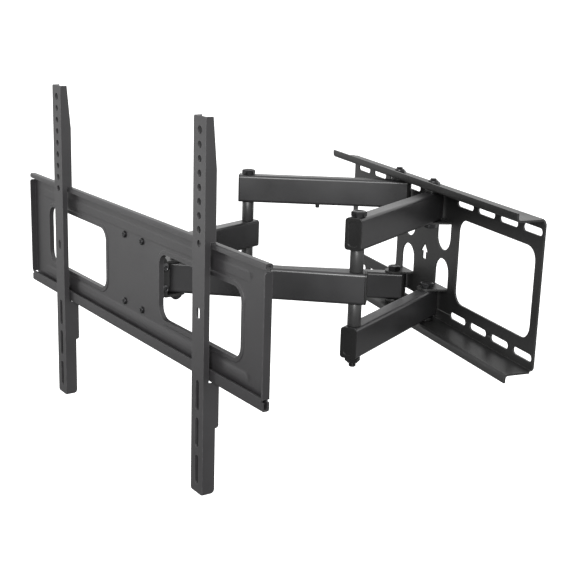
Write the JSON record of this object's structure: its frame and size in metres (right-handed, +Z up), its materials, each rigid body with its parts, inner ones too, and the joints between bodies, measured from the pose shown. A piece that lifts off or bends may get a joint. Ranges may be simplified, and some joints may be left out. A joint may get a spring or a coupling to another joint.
{
  "type": "full motion tv wall mount",
  "caption": "Black steel full motion television wall mount: slotted wall plate, two folding double arms, tilting cross plate and sliding uprights.",
  "frame": {"origin": "on the wall, at the back face of the wall plate midway between the arm pivots, 30 mm above the arms' mid height", "axes": "+Y into the wall, +Z up, +X to the right as seen from in front"},
  "size_m": [0.6271, 0.5214, 0.444],
  "materials": {
    "powder_coat": "satin",
    "black_fastener": "satin",
    "black_plastic": "matte"
  },
  "bodies": {
    "wall_side": {"wall_plate": "powder_coat", "right_upper_wall_bolt": "black_fastener", "right_upper_wall_nut": "black_fastener", "right_upper_wall_washer": "black_plastic", "right_lower_wall_bolt": "black_fastener", "right_lower_wall_nut": "black_fastener", "right_lower_wall_washer": "black_plastic", "left_upper_wall_bolt": "black_fastener", "left_upper_wall_nut": "black_fastener", "left_upper_wall_washer": "black_plastic", "left_lower_wall_bolt": "black_fastener", "left_lower_wall_nut": "black_fastener", "left_lower_wall_washer": "black_plastic"},
    "right_inner_arm": {"right_upper_inner_tube": "powder_coat", "right_lower_inner_tube": "powder_coat", "right_upper_end_cap": "black_plastic", "right_lower_end_cap": "black_plastic", "right_upper_wall_cap": "black_plastic", "right_lower_wall_cap": "black_plastic", "right_elbow_bolt": "black_fastener", "right_elbow_nut": "black_fastener", "right_upper_spacer": "powder_coat", "right_lower_spacer": "powder_coat"},
    "right_outer_arm": {"right_outer_tube": "powder_coat", "right_outer_end_cap": "black_plastic"},
    "head": {"head_yoke": "powder_coat", "right_head_bolt": "black_fastener", "right_head_nut": "black_fastener", "left_head_bolt": "black_fastener", "left_head_nut": "black_fastener", "right_tilt_lock_bolt": "black_fastener", "left_tilt_lock_bolt": "black_fastener"},
    "tv_side": {"tilt_bracket": "powder_coat", "right_tilt_pivot_bolt": "black_fastener", "left_tilt_pivot_bolt": "black_fastener", "tv_plate": "powder_coat", "plate_screw_1": "black_fastener", "plate_screw_2": "black_fastener", "plate_screw_3": "black_fastener", "plate_screw_4": "black_fastener"},
    "right_upright": {"right_tv_bracket": "powder_coat"},
    "left_upright": {"left_tv_bracket": "powder_coat"},
    "left_inner_arm": {"left_upper_inner_tube": "powder_coat", "left_lower_inner_tube": "powder_coat", "left_upper_end_cap": "black_plastic", "left_lower_end_cap": "black_plastic", "left_upper_wall_cap": "black_plastic", "left_lower_wall_cap": "black_plastic", "left_elbow_bolt": "black_fastener", "left_elbow_nut": "black_fastener", "left_upper_spacer": "powder_coat", "left_lower_spacer": "powder_coat", "cable_clip_stub": "black_plastic"},
    "left_outer_arm": {"left_outer_tube": "powder_coat", "left_outer_end_cap": "black_plastic"}
  },
  "joints": [
    {"name": "arm_fold", "type": "hinge", "parent": "wall_side", "child": "right_inner_arm", "pos_m": [0.0511, -0.0242, -0.03], "axis": [0, 0, 1], "range_deg": [-15, 40]},
    {"name": "right_elbow", "type": "hinge", "parent": "right_inner_arm", "child": "right_outer_arm", "pos_m": [0.18587, -0.19885, -0.03], "axis": [0, 0, 1], "range_deg": [-68, 25.6]},
    {"name": "head_swivel", "type": "hinge", "parent": "right_outer_arm", "child": "head", "pos_m": [0.07348, -0.39665, -0.03], "axis": [0, 0, 1], "range_deg": [-15.1, 40]},
    {"name": "left_shoulder", "type": "hinge", "parent": "wall_side", "child": "left_inner_arm", "pos_m": [-0.0511, -0.0242, -0.03], "axis": [0, 0, 1], "range_deg": [-29.1, 11]},
    {"name": "left_elbow", "type": "hinge", "parent": "left_inner_arm", "child": "left_outer_arm", "pos_m": [-0.14354, -0.2245, -0.03], "axis": [0, 0, 1], "range_deg": [-25.2, 67.1]},
    {"name": "tilt", "type": "hinge", "parent": "head", "child": "tv_side", "pos_m": [0.02909, -0.4318, -0.04], "axis": [0.975, 0.2224, 0], "range_deg": [-2, 10]},
    {"name": "right_upright_slide", "type": "slide", "parent": "tv_side", "child": "right_upright", "axis": [0.975, 0.2224, 0], "range_m": [-0.09, 0.1]},
    {"name": "left_upright_slide", "type": "slide", "parent": "tv_side", "child": "left_upright", "axis": [0.975, 0.2224, 0], "range_m": [-0.1, 0.09]}
  ],
  "couplings": [
    {"joint": "right_elbow", "follows": "arm_fold", "ratio": -1.6976},
    {"joint": "head_swivel", "follows": "arm_fold", "ratio": 0.9976},
    {"joint": "left_shoulder", "follows": "arm_fold", "ratio": -0.7239},
    {"joint": "left_elbow", "follows": "arm_fold", "ratio": 1.6749}
  ]
}
